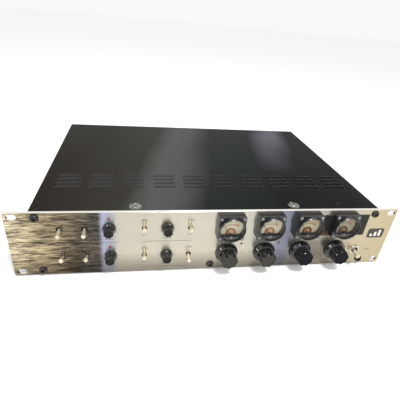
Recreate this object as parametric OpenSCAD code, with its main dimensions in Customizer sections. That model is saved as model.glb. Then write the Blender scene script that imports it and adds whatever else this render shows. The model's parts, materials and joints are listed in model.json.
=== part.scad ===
// Two-unit rack compressor with four level meters, eight rotary controls and nine toggle switches.
// Frame: X to the right seen from the front, Y to the rear, Z up, in millimetres.
// Origin: centre of the four rack slots, on the rear face of the front panel, which bears on the rack rails.

/* [Rack panel] */
// Width of the panel across both ears, a rack standard
panel_w = 482.6; // [482:0.2:483]
// Height of a two-unit panel, a rack standard
panel_h = 88.1; // [87.7:0.1:88.9]
// Thickness of the aluminium panel
panel_t = 3; // [3:0.5:4]
// Distance between left and right rack slots, a rack standard
slot_pitch_x = 465.1; // [464.9:0.1:465.3]
// Distance between upper and lower rack slots, a rack standard
slot_pitch_z = 76.2; // [76:0.1:76.4]
// Half the width of a rack slot
slot_r = 3.5; // [3.3:0.1:3.6]
// End-to-end length of a rack slot
slot_len = 10.5; // [9:0.5:12]

/* [Case] */
// Width of the case behind the panel
case_w = 435; // [430:1:436]
// Depth of the case behind the panel
case_d = 308; // [300:1:315]
// Height of the case
case_h = 84; // [83:0.5:85]
// Thickness of the steel sheet
sheet = 1.2; // [1:0.1:1.5]
// Height of a rubber foot
foot_h = 4; // [3:1:10]
// Number of groups of cooling slots across the cover
vent_groups = 10; // [8:1:10]

/* [Controls] */
// Height of the upper row of controls above the panel's centre
row_up = 21; // [20:1:22]
// Height of the lower row of controls above the panel's centre
row_low = -19; // [-20:1:-18]
// Place of the first meter and level knob across the panel
meter_x0 = 15; // [14:1:16]
// Distance between meters
meter_pitch = 50.6; // [50:0.2:51]
// Height of the meters above the panel's centre
meter_z = 23; // [22:1:24]
// Side of a meter's square bezel
bezel_w = 33.5; // [33:0.5:34.5]
// Radius of a level knob's skirt
level_skirt_r = 14.6; // [13.8:0.2:15]
// Radius of a trim knob's skirt
trim_skirt_r = 7.6; // [7:0.2:8]
// Swing of a small toggle lever to each side of straight out
toggle_swing = 11; // [8:1:12]
// Swing of the mains toggle lever to each side of straight out
power_swing = 10; // [8:1:10]

/* [Hidden] */
$fn = 72;

front_y = -panel_t;              // the panel's front face
top_z = case_h / 2;              // the cover's upper face
floor_z = sheet - case_h / 2;    // the tray's inner floor
tray_w = case_w - 2 * sheet - 0.3;
lip_top = top_z - sheet - 1.15;  // upper face of the tray's front lip, under the cover's dimples
wall_back = sheet + 0.05;        // first free plane behind the tray's front wall
rear_in = case_d - sheet;        // inner face of the tray's rear wall
board_y = 24;                    // front face of the upright control board
board_z = floor_z + 6;           // underside of the main board
board_t = 1.6;

meter_x = [for (i = [0:3]) meter_x0 + i * meter_pitch];
trim_at = [[-130, row_up], [-130, row_low], [-62.3, row_up], [-62.3, row_low]];
level_at = [for (x = meter_x) [x, row_low]];
pot_at = concat(trim_at, level_at);
toggle_at = [[-185, row_up], [-157.5, row_up], [-185, row_low], [-157.5, row_low],
    [-89.5, row_up], [-89.5, row_low], [-34.5, row_up], [-34.5, row_low]];
// 1 is a lever thrown down, -1 is a lever thrown up
toggle_throw = [1, 1, -1, -1, -1, -1, -1, 1];
// Pointer of each knob at rest, in degrees clockwise from straight up
level_turn = [-45, -60, -20, 35];
trim_turn = [-15, -70, 20, 0];
power_at = [197, -20];
led_at = [[-130, 35], [-130, -5], [meter_x[0] + 18.2, -5], [meter_x[1] + 18.2, -5]];
panel_screw_at = [[-209, 37], [209, 37], [-209, -37], [209, -37], [-5, -37]];
pivot_y = 3;                     // a small lever's pivot behind the panel
power_pivot_y = 2;
needle_drop = 9.5;               // a needle's pivot below the meter's centre
needle_rest = -40;
bezel_depth = 8.5;
ring_h = 5;
meter_bore = 14.95;
dimple_at = [[-100, 13], [100, 13]];
foot_at = [for (x = [-185, 185], y = [32, 272]) [x, y]];
side_screw_y = [45, 262];
side_screw_z = -36;
xlr_socket_x = [-175, -20];
xlr_plug_x = [-135, 20];
jack_x = [-100, -70, 55, 85];
inlet_x = 165;
tube_at = [[-70, 110], [-20, 110]];
toroid_at = [145, 205];

// ---- helpers ----

// Local Z points at the viewer, local Y up, local X right; the local origin is at height z on plane y
module on_front(x, z, y = front_y) { translate([x, y, z]) rotate([90, 0, 0]) children(); }

// Local Z points out of the rear wall, local Y up
module on_rear(x, z, y = case_d) { translate([x, y, z]) rotate([90, 0, 180]) children(); }

// Extrudes an outline drawn in X and Z from plane y0 to plane y1
module along_y(y0, y1) { translate([0, y1, 0]) rotate([90, 0, 0]) linear_extrude(y1 - y0) children(); }

module rounded(w, h, r) {
    square([w - 2 * r, h], center = true);
    square([w, h - 2 * r], center = true);
    for (x = [-1, 1], y = [-1, 1]) translate([x * (w / 2 - r), y * (h / 2 - r)]) circle(r);
}

module slot(length, r) {
    square([length - 2 * r, 2 * r], center = true);
    for (s = [-1, 1]) translate([s * (length / 2 - r), 0]) circle(r);
}

module hex(across, h) { linear_extrude(h) circle(across / sqrt(3), $fn = 6); }

// A domed screw head with a cross recess, its seat on z = 0, and a plain shank below it
module cross_screw(head_r, head_h, shank_r, shank_len) {
    difference() {
        rotate_extrude() polygon([[0, 0], [head_r, 0], [head_r, head_h * 0.45],
            [head_r * 0.82, head_h * 0.85], [head_r * 0.5, head_h], [0, head_h]]);
        for (a = [0, 90]) rotate(a)
            translate([0, 0, head_h]) cube([head_r * 1.15, head_r * 0.26, head_h], center = true);
    }
    translate([0, 0, -shank_len]) cylinder(r = shank_r, h = shank_len);
}

// ---- front panel and case ----

module panel_holes() {
    for (x = [-1, 1], z = [-1, 1]) translate([x * slot_pitch_x / 2, z * slot_pitch_z / 2]) slot(slot_len, slot_r);
    for (p = panel_screw_at) translate(p) circle(2.75);
    for (p = pot_at) translate(p) circle(6.2);
    for (p = toggle_at) translate(p) circle(3.3);
    translate(power_at) circle(5.3);
    for (p = led_at) translate(p) circle(1.6);
    for (x = meter_x) translate([x, meter_z]) {
        circle(14.6);
        for (sx = [-1, 1], sz = [-1, 1]) translate([sx * 13.8, sz * 13.8]) circle(1.3);
    }
}

module front_panel() {
    edge = 0.6;
    color([0.80, 0.78, 0.72]) intersection() {
        along_y(front_y, 0) difference() {
            square([panel_w, panel_h], center = true);
            panel_holes();
        }
        rotate([90, 0, 90]) linear_extrude(panel_w + 2, center = true) polygon([
            [0, -panel_h / 2], [0, panel_h / 2], [front_y + edge, panel_h / 2],
            [front_y, panel_h / 2 - edge], [front_y, edge - panel_h / 2], [front_y + edge, -panel_h / 2]]);
        linear_extrude(panel_h + 2, center = true) polygon([
            [-panel_w / 2, 0], [panel_w / 2, 0], [panel_w / 2, front_y + edge],
            [panel_w / 2 - edge, front_y], [edge - panel_w / 2, front_y], [-panel_w / 2, front_y + edge]]);
    }
}

module front_wall_holes() {
    for (p = panel_screw_at) translate(p) circle(2.52);
    for (p = pot_at) translate(p) circle(3.6);
    for (p = toggle_at) translate(p) circle(3.3);
    translate(power_at) circle(5.3);
    for (p = led_at) translate(p) circle(1.6);
    for (x = meter_x) translate([x, meter_z]) circle(14.6);
}

module rear_wall_holes() {
    for (x = concat(xlr_socket_x, xlr_plug_x)) translate([x, 0]) {
        circle(11.9);
        for (s = [-1, 1]) translate([s * 9.5, s * 12]) circle(1.55);
    }
    for (x = xlr_socket_x) translate([x, 13]) square([9, 4], center = true);
    for (x = jack_x) translate([x, 0]) circle(4.9);
    translate([inlet_x, 0]) square([30.5, 36.5], center = true);
    for (s = [-1, 1]) translate([inlet_x + s * 20, 0]) circle(1.55);
}

module chassis_tray() {
    wall_low = -case_h / 2;
    rear_top = top_z - sheet - 0.15;
    color([0.10, 0.10, 0.11]) {
        difference() {
            union() {
                translate([-tray_w / 2, 0, wall_low]) cube([tray_w, case_d, sheet]);
                translate([-tray_w / 2, 0, wall_low]) cube([tray_w, sheet, lip_top - wall_low]);
                translate([-195, 0, lip_top - sheet]) cube([390, 20, sheet]);
                translate([-tray_w / 2, rear_in, wall_low]) cube([tray_w, sheet, rear_top - wall_low]);
                translate([-205, rear_in - 9, rear_top - sheet]) cube([410, 9 + sheet, sheet]);
                for (s = [-1, 1]) translate([s * (tray_w - sheet) / 2, case_d / 2, wall_low + 6])
                    cube([sheet, case_d - 30, 12], center = true);
            }
            along_y(-1, sheet + 1) front_wall_holes();
            along_y(rear_in - 1, case_d + 1) rear_wall_holes();
            for (p = dimple_at) translate([p.x, p.y, lip_top - 3]) cylinder(r = 1.55, h = 5);
            for (p = foot_at) translate([p.x, p.y, wall_low - 1]) cylinder(r = 1.55, h = 4);
            for (p = standoff_at) translate([p.x, p.y, wall_low - 1]) cylinder(r = 1.55, h = 4);
            translate([toroid_at.x, toroid_at.y, wall_low - 1]) cylinder(r = 3.1, h = 4);
            for (s = [-1, 1], y = side_screw_y) translate([s * tray_w / 2, y, side_screw_z])
                rotate([0, 90, 0]) cylinder(r = 1.55, h = 8, center = true);
        }
    }
}

// One group of slanted cooling slots
module vent_group() {
    columns = 6;
    rows = 4;
    for (i = [0:columns - 1], j = [0:rows - 1])
        translate([(i - (columns - 1) / 2) * 4.8, (j - (rows - 1) / 2) * 10.6]) rotate(50) slot(9.6, 1.1);
}

module top_cover() {
    band_y = 78.5;
    group_pitch = 412 / vent_groups;
    bend = 2;
    color([0.06, 0.06, 0.07]) difference() {
        union() {
            along_y(0, case_d) difference() {
                union() {
                    translate([-case_w / 2, -top_z]) square([case_w, case_h - bend]);
                    translate([bend - case_w / 2, 0]) square([case_w - 2 * bend, top_z]);
                    for (s = [-1, 1]) translate([s * (case_w / 2 - bend), top_z - bend]) circle(bend);
                }
                translate([sheet - case_w / 2, -top_z - 1]) square([case_w - 2 * sheet, case_h + 1 - sheet]);
            }
            for (p = dimple_at) translate([p.x, p.y, top_z - sheet - 1.1]) cylinder(r1 = 6.6, r2 = 8, h = 1.2);
        }
        for (p = dimple_at) translate([p.x, p.y, top_z - 1.1]) {
            cylinder(r1 = 5, r2 = 7.2, h = 1.2);
            translate([0, 0, -3]) cylinder(r = 1.7, h = 5);
        }
        for (k = [0:vent_groups - 1])
            translate([(k - (vent_groups - 1) / 2) * group_pitch, band_y, top_z - sheet - 1])
                linear_extrude(sheet + 2) vent_group();
        for (s = [-1, 1], y = side_screw_y) translate([s * case_w / 2, y, side_screw_z])
            rotate([0, 90, 0]) cylinder(r = 1.7, h = 8, center = true);
    }
}

module panel_screws() {
    color([0.03, 0.03, 0.03]) for (p = panel_screw_at) on_front(p.x, p.y) {
        difference() {
            rotate_extrude() polygon([[0, 0], [5, 0], [5, 0.7], [4.6, 1.6], [3.8, 2.4], [2.9, 2.9], [0, 2.9]]);
            translate([0, 0, 1.1]) hex(4, 3);
        }
        translate([0, 0, -12]) cylinder(r = 2.5, h = 12);
    }
}

module case_screws() {
    color([0.12, 0.12, 0.12]) {
        for (p = dimple_at) translate([p.x, p.y, top_z - 1.1]) rotate(30) cross_screw(3.4, 1.8, 1.5, 7);
        for (s = [-1, 1], y = side_screw_y) translate([s * case_w / 2, y, side_screw_z])
            rotate([0, s * 90, 0]) cross_screw(2.8, 1.6, 1.5, 6);
        for (p = foot_at) translate([p.x, p.y, foot_z + 2]) rotate([180, 0, 0]) cross_screw(2.8, 1.5, 1.5, 6);
        for (x = concat(xlr_socket_x, xlr_plug_x), s = [-1, 1])
            on_rear(x + s * 9.5, s * 12, case_d + 2) cross_screw(2.8, 1.6, 1.5, 7);
        for (s = [-1, 1]) on_rear(inlet_x + s * 20, 0, case_d + 2) cross_screw(2.8, 1.6, 1.5, 7);
    }
}

foot_z = -case_h / 2 - foot_h;

module rubber_feet() {
    color([0.02, 0.02, 0.02]) for (p = foot_at) translate([p.x, p.y, foot_z]) difference() {
        rotate_extrude() polygon([[0, 0], [8, 0], [8.6, 0.6], [9.5, foot_h], [0, foot_h]]);
        translate([0, 0, -1]) cylinder(r = 3.3, h = 3);
        cylinder(r = 1.6, h = foot_h + 1);
    }
}

// ---- rotary controls ----

// Outline of a grip with hollow flutes between its lobes
module fluted(r, lobes, flute_r, depth) {
    difference() {
        circle(r);
        for (i = [0:lobes - 1]) rotate(360 / lobes * (i + 0.5)) translate([r + flute_r - depth, 0]) circle(flute_r);
    }
}

// A skirted, fluted knob; local Z points at the viewer and the skirt's back is on z = 0
module skirted_knob(skirt_r, skirt_h, grip_r, height, lobes, flute_r, depth, bore_depth) {
    round_r = grip_r * 0.12;
    difference() {
        union() {
            rotate_extrude() polygon([[0, 0], [skirt_r, 0], [skirt_r, skirt_h * 0.22],
                [skirt_r * 0.985, skirt_h * 0.32], [grip_r * 1.13, skirt_h * 0.86],
                [grip_r * 1.02, skirt_h], [0, skirt_h]]);
            intersection() {
                linear_extrude(height) fluted(grip_r, lobes, flute_r, depth);
                rotate_extrude() polygon([[0, 0], [grip_r + 0.4, 0], [grip_r + 0.4, height - 1.3 * round_r],
                    [grip_r - 0.3 * round_r, height - 0.4 * round_r], [grip_r - round_r, height], [0, height]]);
            }
        }
        translate([0, 0, -1]) cylinder(r = 3.04, h = bore_depth + 1);
        translate([0, 0, height - 0.35]) cylinder(r = grip_r * 0.66, h = 1);
    }
}

module level_knob(k) {
    color([0.03, 0.03, 0.035]) on_front(level_at[k].x, level_at[k].y, front_y - 0.8) rotate(-level_turn[k])
        skirted_knob(level_skirt_r, 6, 10.8, 19.7, 8, 3.6, 2, 13);
}

module level_shaft(k) {
    color([0.75, 0.75, 0.76]) on_front(level_at[k].x, level_at[k].y, front_y - 0.8) {
        translate([0, 0, -10.7]) cylinder(r = 3, h = 23.5);
    }
}

// The knob and its shaft are two separate solids that turn together
module trim_knob(k) {
    color([0.03, 0.03, 0.035]) on_front(trim_at[k].x, trim_at[k].y, front_y - 0.7) rotate(-trim_turn[k]) {
        skirted_knob(trim_skirt_r, 3.2, 5.8, 10.8, 8, 2, 1, 8);
        translate([0, 0, -10.8]) cylinder(r = 3, h = 18.6);
    }
}

module pot_bodies() {
    color([0.20, 0.22, 0.22]) for (p = pot_at) on_front(p.x, p.y, 0) difference() {
        union() {
            translate([-8, -9.5, -9.5]) cube([16, 17, 9.5 - wall_back]);
            translate([0, 0, -wall_back - 0.5]) cylinder(r = 3.5, h = wall_back + 0.5 + 2.6);
            for (s = [-1, 0, 1]) translate([s * 5, -7.5, -board_y]) cylinder(r = 0.5, h = board_y - 9);
        }
        translate([0, 0, -8.2]) cylinder(r = 3.05, h = 12);
    }
}

module bushing_nuts() {
    color([0.70, 0.68, 0.62]) {
        for (p = pot_at) on_front(p.x, p.y, 0) difference() {
            hex(10, 2);
            translate([0, 0, -1]) cylinder(r = 3.53, h = 4);
        }
        for (x = jack_x) on_rear(x, 0) difference() {
            hex(12, 2);
            translate([0, 0, -1]) cylinder(r = 4.73, h = 4);
        }
        on_front(power_at.x, power_at.y) difference() {
            intersection() {
                hex(12.4, 1.9);
                rotate_extrude() polygon([[0, 0], [6.8, 0], [6.8, 1.2], [6.1, 1.9], [0, 1.9]]);
            }
            translate([0, 0, -1]) cylinder(r = 5.24, h = 4);
        }
    }
}

// ---- toggle switches ----

// Lever with its pivot at the origin and its trunnion along X; it points along Z
module lever(length, neck_r, tip_r, ball_r, trunnion_r, trunnion_half, tail) {
    sphere(ball_r);
    rotate([0, 90, 0]) cylinder(r = trunnion_r, h = 2 * trunnion_half, center = true);
    cylinder(r1 = neck_r, r2 = tip_r, h = length - 0.7);
    translate([0, 0, length - 0.7]) cylinder(r1 = tip_r, r2 = tip_r - 0.6, h = 0.7);
    translate([0, 0, -tail]) cylinder(r = 0.9, h = tail);
}

module toggle_lever(k) {
    color([0.88, 0.86, 0.80]) on_front(toggle_at[k].x, toggle_at[k].y, pivot_y)
        rotate([toggle_throw[k] * toggle_swing, 0, 0])
            lever(pivot_y + panel_t + 11.3, 1.5, 2.6, 2.3, 1, 4.1, 3.4);
}

module toggle_housings() {
    color([0.10, 0.12, 0.20]) for (p = toggle_at) on_front(p.x, p.y, 0) difference() {
        union() {
            translate([-4.7, -6.5, -11]) cube([9.4, 13, 11 - wall_back]);
            for (s = [-1, 0, 1]) translate([0, s * 4.7, -board_y]) cylinder(r = 0.5, h = board_y - 10.5);
        }
        translate([0, 0, -7.8]) cylinder(r = 3.3, h = 9);
        translate([0, 0, -pivot_y]) rotate([0, 90, 0]) cylinder(r = 1.05, h = 8.3, center = true);
    }
}

module power_lever() {
    color([0.90, 0.90, 0.90]) on_front(power_at.x, power_at.y, power_pivot_y) rotate([power_swing, 0, 0])
        lever(power_pivot_y + panel_t + 13.4, 2, 3.3, 3.7, 1.5, 5.2, 4);
}

module power_switch_body() {
    color([0.60, 0.60, 0.60]) on_front(power_at.x, power_at.y, 0) difference() {
        union() {
            translate([-8, -13, -20]) cube([16, 26, 20 - wall_back]);
            translate([0, 0, -wall_back - 0.5]) cylinder(r = 5.2, h = wall_back + 0.5 + panel_t + 2.4);
            for (s = [-1, 1]) translate([-2.4, s * 7 - 0.4, -27]) cube([4.8, 0.8, 7.5]);
        }
        translate([0, 0, -8]) cylinder(r = 4.5, h = 20);
        translate([0, 0, -power_pivot_y]) rotate([0, 90, 0]) cylinder(r = 1.55, h = 10.6, center = true);
    }
}

// ---- meters ----

module meter_bezels() {
    color([0.04, 0.04, 0.045]) for (x = meter_x) on_front(x, meter_z) difference() {
        union() {
            linear_extrude(bezel_depth) rounded(bezel_w, bezel_w, 1.2);
            rotate_extrude() polygon([[0, 1], [16.6, 1], [16.6, bezel_depth + ring_h - 0.7],
                [16, bezel_depth + ring_h], [0, bezel_depth + ring_h]]);
        }
        translate([0, 0, -1]) cylinder(r = meter_bore, h = 20);
        translate([0, 0, bezel_depth + ring_h - 1.9]) cylinder(r = 15.5, h = 3);
        for (sx = [-1, 1], sy = [-1, 1]) translate([sx * 13.8, sy * 13.8, -1]) cylinder(r = 1.25, h = 20);
    }
}

module meter_lenses() {
    color([0.85, 0.9, 0.9, 0.35]) for (x = meter_x) on_front(x, meter_z, front_y - bezel_depth - ring_h + 1.9)
        rotate_extrude() polygon([[0, 0], [15.45, 0], [15.45, 1.3], [14.8, 1.55], [11, 1.8],
            [7, 1.98], [3, 2.08], [0, 2.1]]);
}

// Outline of a round face cut by a level chord; keep is 1 for the part above the chord, -1 for the part below
module segment(r, chord, keep) {
    intersection() {
        circle(r);
        translate([-r - 1, keep > 0 ? chord : chord - 2 * r]) square([2 * r + 2, 2 * r]);
    }
}

module meter_dials() {
    color([0.86, 0.82, 0.66]) for (x = meter_x) on_front(x, meter_z, front_y - 3.4)
        linear_extrude(0.6) difference() {
            circle(14.85);
            translate([0, -needle_drop]) circle(1.4);
        }
}

module meter_covers() {
    color([0.10, 0.09, 0.08]) for (x = meter_x) on_front(x, meter_z, front_y - 7) difference() {
        linear_extrude(2.4) segment(14.85, -7.9, -1);
        translate([0, -11.6, 1]) cylinder(r = 1.7, h = 3);
    }
}

module meter_cans() {
    color([0.25, 0.25, 0.26]) for (x = meter_x) on_front(x, meter_z, front_y - 3.4) difference() {
        translate([0, 0, -26]) cylinder(r = 14, h = 26);
        translate([0, 0, -25]) cylinder(r = 13, h = 24);
        translate([0, -needle_drop, -2]) cylinder(r = 0.56, h = 4);
        for (s = [-1, 1]) translate([s * 6, 0, -27]) cylinder(r = 1, h = 4);
    }
    color([0.80, 0.70, 0.35]) for (x = meter_x, s = [-1, 1]) on_front(x + s * 6, meter_z, front_y - 3.4)
        translate([0, 0, -28]) cylinder(r = 0.98, h = 5);
}

module meter_screws() {
    color([0.15, 0.15, 0.16]) for (x = meter_x) {
        for (sx = [-1, 1], sz = [-1, 1]) on_front(x + sx * 13.8, meter_z + sz * 13.8, front_y - bezel_depth)
            rotate(20 + 35 * sx + 15 * sz) cross_screw(2.1, 1.3, 1.2, bezel_depth + panel_t);
        on_front(x, meter_z - 11.6, front_y - 8) difference() {
            cylinder(r = 1.62, h = 1.9);
            translate([0, 0, 1.9]) cube([4, 0.5, 1.2], center = true);
        }
    }
}

module meter_needle(k) {
    color([0.05, 0.05, 0.05]) on_front(meter_x[k], meter_z - needle_drop, front_y - 3.4) rotate(-needle_rest) {
        translate([0, 0, -8]) cylinder(r = 0.5, h = 10);
        translate([0, 0, -7]) cylinder(r = 3, h = 5);
        translate([0, 0, 0.9]) cylinder(r = 1.3, h = 1.6);
        translate([0, 0, 1.5]) linear_extrude(0.4) polygon([[-0.45, -3.2], [0.45, -3.2], [0.14, 18.4], [-0.14, 18.4]]);
    }
}

module status_leds() {
    color([0.55, 0.02, 0.03]) for (p = led_at) on_front(p.x, p.y, 0) {
        translate([0, 0, -4]) cylinder(r = 1.5, h = 4 + panel_t);
        translate([0, 0, panel_t]) intersection() {
            sphere(1.5);
            translate([-2, -2, 0]) cube(4);
        }
        translate([0, 0, -5]) cylinder(r = 1.9, h = 5 - wall_back);
        for (s = [-1, 1]) translate([s * 0.9, 0, -board_y]) cylinder(r = 0.25, h = board_y - 4.5);
    }
}

// ---- inside the case ----

standoff_at = [for (x = [-190, -60, 68], y = [78, 285]) [x, y]];

module main_board() {
    color([0.05, 0.30, 0.12]) translate([-200, 70, board_z]) difference() {
        cube([278, 224, board_t]);
        for (p = standoff_at) translate([p.x + 200, p.y - 70, -1]) cylinder(r = 1.7, h = 4);
    }
}

module control_board() {
    color([0.05, 0.30, 0.12]) translate([-205, board_y, -36]) cube([386, board_t, 72]);
}

module board_standoffs() {
    color([0.72, 0.66, 0.40]) for (p = standoff_at) translate([p.x, p.y, floor_z]) {
        difference() {
            union() {
                hex(5.5, 6);
                translate([0, 0, -sheet]) cylinder(r = 1.5, h = sheet + 6);
            }
            translate([0, 0, 2]) cylinder(r = 1.25, h = 6);
        }
        translate([0, 0, 6 + board_t]) cylinder(r = 2.8, h = 1.8);
        translate([0, 0, 2.5]) cylinder(r = 1.2, h = 5.2 + board_t);
    }
}

module ribbon_cable() {
    plug_z = board_z + board_t;
    color([0.55, 0.56, 0.60]) translate([-40, 0, 0]) {
        translate([0, board_y + board_t, -28]) cube([30, 6, 8]);
        translate([0, 78, plug_z]) cube([30, 8, 6]);
        translate([2, board_y + board_t + 6, -24.5]) cube([26, 50.4, 1]);
        translate([2, 81, -25.5 + 0.6]) cube([26, 1, 1.4]);
        translate([2, 81, plug_z + 6]) cube([26, 1, -23.5 - plug_z - 6]);
    }
}

module filter_capacitors() {
    color([0.08, 0.10, 0.25]) for (x = [20, 42, 64], y = [150, 176])
        translate([x, y, board_z + board_t]) rotate_extrude() polygon([[0, 0], [8, 0], [8, 2], [7.5, 2.6],
            [8, 3.2], [8, 24.4], [7.4, 25], [0, 25]]);
}

module tube_sockets() {
    color([0.85, 0.84, 0.80]) for (p = tube_at) translate([p.x, p.y, board_z + board_t]) difference() {
        union() {
            cylinder(r = 12, h = 9);
            cylinder(r = 13.5, h = 2);
        }
        for (a = [0:36:288]) rotate(a) translate([5.95, 0, 2]) cylinder(r = 0.6, h = 8);
        translate([0, 0, 3]) cylinder(r = 2, h = 8);
    }
}

module tube_envelopes() {
    color([0.9, 0.95, 0.95, 0.3]) for (p = tube_at) translate([p.x, p.y, board_z + board_t + 9.1]) difference() {
        rotate_extrude() difference() {
            union() {
                square([10.5, 40]);
                translate([0, 40]) intersection() {
                    circle(10.5);
                    square(11);
                }
                translate([0, 47]) square([1.2, 6]);
            }
            translate([0, 1.5]) square([9.6, 38.5]);
            translate([0, 40]) intersection() {
                circle(9.6);
                square(11);
            }
        }
        for (a = [0:36:288]) rotate(a) translate([5.95, 0, -1]) cylinder(r = 0.53, h = 4);
    }
}

module tube_electrodes() {
    color([0.35, 0.35, 0.37]) for (p = tube_at) translate([p.x, p.y, board_z + board_t + 9.1]) {
        for (s = [-1, 1]) translate([s * 4.1, 0, 5.5]) cylinder(r = 3.4, h = 29);
        translate([0, 0, 5.4]) cylinder(r = 8.8, h = 0.6);
        translate([0, 0, 34]) cylinder(r = 8.8, h = 0.6);
        for (a = [0:36:288]) rotate(a) translate([5.95, 0, -6]) cylinder(r = 0.5, h = 11.6);
    }
}

module mains_transformer() {
    color([0.70, 0.55, 0.20]) translate([toroid_at.x, toroid_at.y, floor_z + 2]) rotate_extrude() {
        translate([19, 0]) square([20, 36]);
        translate([13, 6]) square([32, 24]);
        for (x = [19, 39], y = [6, 30]) translate([x, y]) circle(6);
    }
}

module transformer_clamp() {
    color([0.55, 0.55, 0.56]) translate([toroid_at.x, toroid_at.y, floor_z]) {
        difference() {
            cylinder(r = 42, h = 2);
            translate([0, 0, -1]) cylinder(r = 3.3, h = 4);
        }
        translate([0, 0, 38]) difference() {
            cylinder(r = 30, h = 1.5);
            translate([0, 0, -1]) cylinder(r = 3.3, h = 4);
        }
        translate([0, 0, 39.5]) hex(10, 4);
        translate([0, 0, -sheet]) cylinder(r = 3, h = sheet + 39.5);
    }
}

// A quarter bend of a wire in the XY plane, 4 mm in radius, from the given angle to 90 degrees beyond it
module wire_bend(x, y, z, from) {
    translate([x, y, z]) rotate(from) rotate_extrude(angle = 90) translate([4, 0]) circle(1.1);
}

module wire_x(x0, x1, y, z) { translate([x0, y, z]) rotate([0, 90, 0]) cylinder(r = 1.1, h = x1 - x0); }

module wire_y(x, y0, y1, z) { translate([x, y0, z]) rotate([-90, 0, 0]) cylinder(r = 1.1, h = y1 - y0); }

// Switched mains from the front switch to the inlet, and the transformer's secondary to its plug
module mains_wiring() {
    plug_z = board_z + board_t;
    run_x = power_at.x + 8;
    back_y = case_d - 39;
    color([0.45, 0.20, 0.08]) for (s = [-1, 1]) {
        z = power_at.y + s * 7;
        end_x = inlet_x + 8 * s;
        wire_y(power_at.x, 28.2, 34, z);
        wire_bend(run_x - 4, 34, z, 90);
        wire_bend(run_x - 4, 42, z, -90);
        wire_y(run_x, 42, back_y - 4, z);
        wire_bend(run_x - 4, back_y - 4, z, 0);
        wire_x(end_x + 4, run_x - 4, back_y, z);
        wire_bend(end_x + 4, back_y + 4, z, 180);
        wire_y(end_x, back_y + 4, case_d - 22.2, z);
        wire_x(73.5, 99.9, toroid_at.y + s * 4, plug_z + 5);
    }
    color([0.10, 0.30, 0.12]) translate([64, toroid_at.y - 9, plug_z]) cube([9.5, 18, 9]);
}

// ---- rear connectors ----

inlet_h = 36;

module mains_inlet() {
    color([0.05, 0.05, 0.05]) on_rear(inlet_x, 0) difference() {
        union() {
            linear_extrude(2) rounded(48, 40, 2);
            translate([-15, -inlet_h / 2, -22]) cube([30, inlet_h, 22]);
        }
        translate([-12, -6, -16]) cube([24, 16.5, 20]);
        translate([-12.2, -16.2, -19]) cube([24.4, 7.4, 24]);
        for (s = [-1, 1]) translate([s * 20, 0, -1]) cylinder(r = 1.7, h = 4);
    }
    color([0.80, 0.78, 0.70]) on_rear(inlet_x, 0) for (p = [[-7, 0.4], [0, 4.6], [7, 0.4]])
        translate([p.x - 1, p.y - 2, -16]) cube([2, 4, 14.5]);
}

module fuse_drawer() {
    color([0.07, 0.07, 0.07]) on_rear(inlet_x, -12.5) {
        translate([-12, -3.5, -18]) cube([24, 7, 18]);
        difference() {
            translate([-12, -3.5, 0]) cube([24, 7, 2.6]);
            translate([-5, -3.6, 1.6]) cube([10, 2, 2]);
        }
    }
}

module xlr_flange() {
    difference() {
        linear_extrude(2) rounded(26, 31, 2);
        for (s = [-1, 1]) translate([-s * 9.5, s * 12, -1]) cylinder(r = 1.7, h = 4);
    }
}

module xlr_sockets() {
    color([0.16, 0.16, 0.17]) for (x = xlr_socket_x) on_rear(x, 0) difference() {
        union() {
            xlr_flange();
            translate([0, 0, -22]) cylinder(r = 11.7, h = 23);
        }
        translate([0, 0, -13]) difference() {
            cylinder(r = 9.5, h = 20);
            translate([0, 0, -1]) cylinder(r = 7.3, h = 22);
        }
        for (p = [[-3.7, 1.6], [3.7, 1.6], [0, -3.7]]) translate([p.x, p.y, -12]) cylinder(r = 1.3, h = 20);
        translate([-4.1, 11.8, -3]) cube([8.2, 2.4, 8]);
    }
}

module xlr_latch(k) {
    color([0.75, 0.75, 0.76]) on_rear(xlr_socket_x[k], 0) translate([-3.9, 12, -3.5]) cube([7.8, 2, 7.5]);
}

module xlr_plugs() {
    color([0.16, 0.16, 0.17]) for (x = xlr_plug_x) on_rear(x, 0) difference() {
        union() {
            xlr_flange();
            translate([0, 0, -22]) cylinder(r = 11.7, h = 23);
        }
        translate([0, 0, -14]) cylinder(r = 9.4, h = 20);
        for (p = [[-3.7, 1.6], [3.7, 1.6], [0, -3.7]]) translate([p.x, p.y, -20]) cylinder(r = 1.22, h = 8);
    }
    color([0.85, 0.75, 0.45]) for (x = xlr_plug_x) on_rear(x, 0)
        for (p = [[-3.7, 1.6], [3.7, 1.6], [0, -3.7]]) translate([p.x, p.y, -20]) cylinder(r = 1.2, h = 19);
}

module jack_sockets() {
    color([0.08, 0.08, 0.09]) for (x = jack_x) on_rear(x, 0) difference() {
        union() {
            translate([-7, -7, -26]) cube([14, 14, 26 - sheet - 0.05]);
            translate([0, 0, -sheet - 1]) cylinder(r = 4.7, h = sheet + 5);
        }
        translate([0, 0, -20]) cylinder(r = 3.25, h = 26);
    }
}

front_panel();
chassis_tray();
top_cover();
panel_screws();
case_screws();
rubber_feet();
for (k = [0:3]) {
    level_knob(k);
    level_shaft(k);
    trim_knob(k);
    meter_needle(k);
}
for (k = [0:7]) toggle_lever(k);
pot_bodies();
bushing_nuts();
toggle_housings();
power_lever();
power_switch_body();
meter_bezels();
meter_lenses();
meter_dials();
meter_covers();
meter_cans();
meter_screws();
status_leds();
main_board();
control_board();
board_standoffs();
ribbon_cable();
filter_capacitors();
tube_sockets();
tube_envelopes();
tube_electrodes();
mains_transformer();
transformer_clamp();
mains_wiring();
mains_inlet();
fuse_drawer();
xlr_sockets();
xlr_latch(0);  // xlr_latch_1
xlr_latch(1);  // xlr_latch_2
xlr_plugs();
jack_sockets();
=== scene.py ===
# Looks for the rack compressor: materials, printed scales, meter artwork, light and camera.
import json
import math
import random

import bpy
from mathutils import Matrix, Vector


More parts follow.
